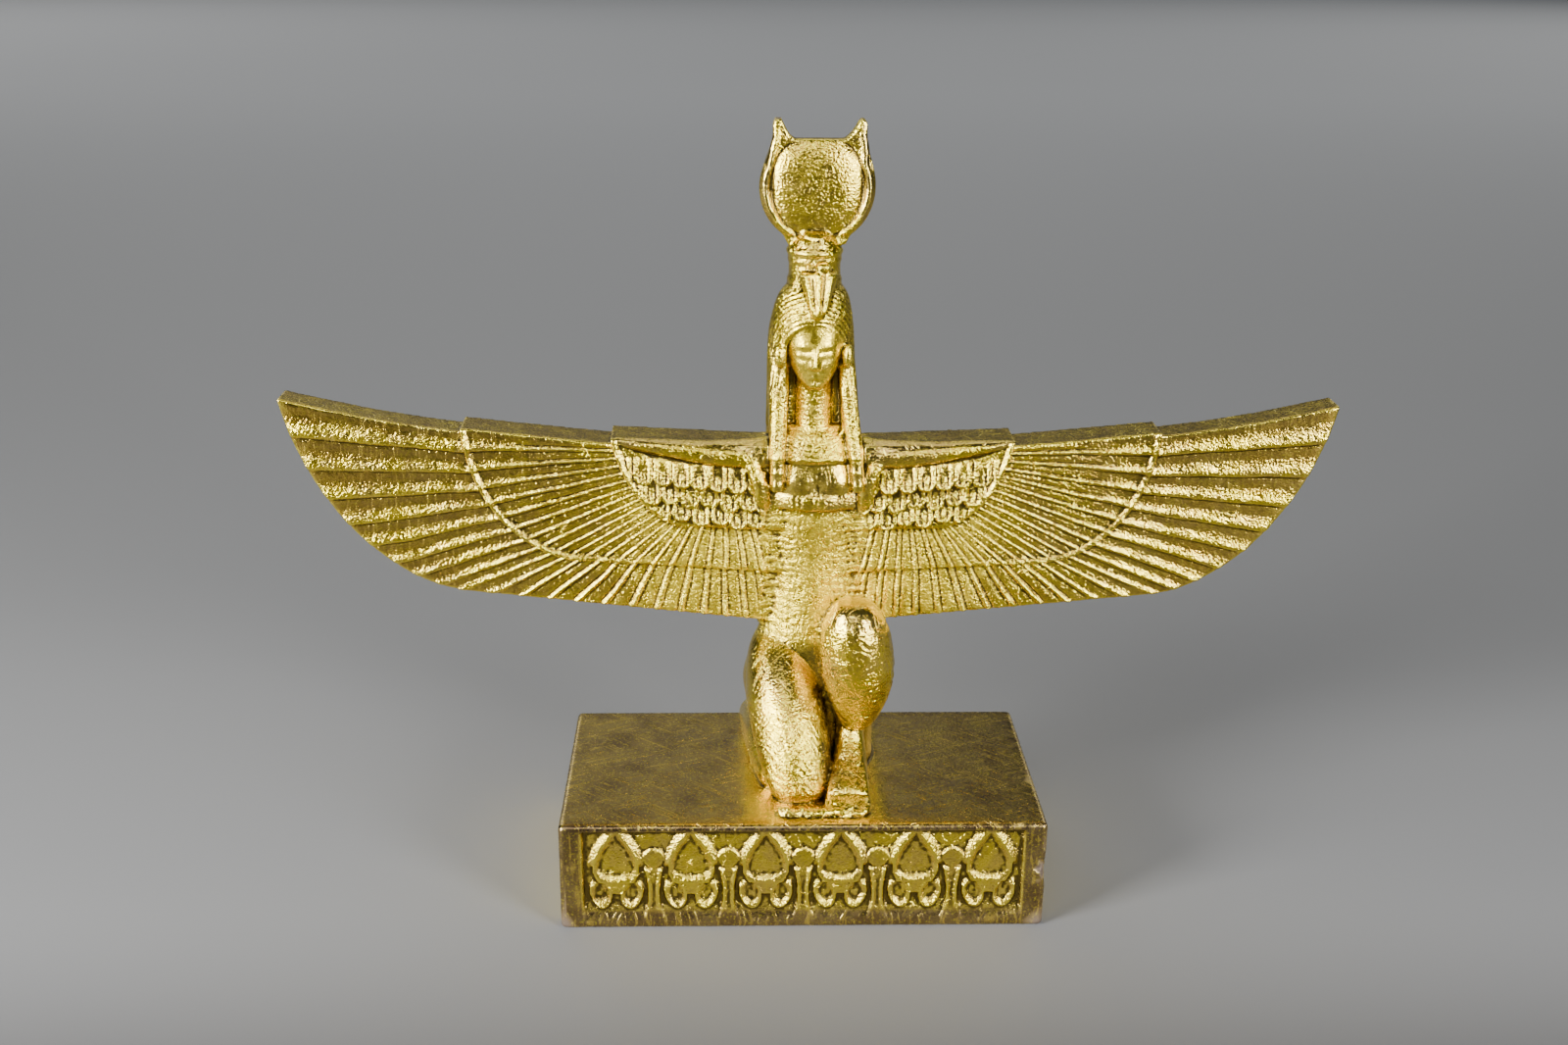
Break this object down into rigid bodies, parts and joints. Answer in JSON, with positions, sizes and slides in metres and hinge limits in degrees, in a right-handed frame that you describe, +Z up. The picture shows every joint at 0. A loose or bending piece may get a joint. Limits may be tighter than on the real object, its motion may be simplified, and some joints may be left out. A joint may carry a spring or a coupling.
{
  "type": "kneeling winged goddess statue",
  "caption": "Gilded souvenir statue of a kneeling goddess with spread feathered wings and a horned sun disc, cast in one with its rectangular plinth, for display on a shelf.",
  "frame": {"origin": "on the ground, midway between the wing tips and midway through the plinth's depth", "axes": "+X along the wings towards the raised knee's side, the figure faces -Y, +Z up"},
  "size_m": [0.2972, 0.0744, 0.223],
  "materials": {
    "gold_leaf": "gold leaf over cast composite stone, burnished and wrinkled, worn pale at corners and feather edges, orange-brown in the creases"
  },
  "bodies": {
    "root": {"isis_statue": "gold_leaf"}
  },
  "joints": []
}
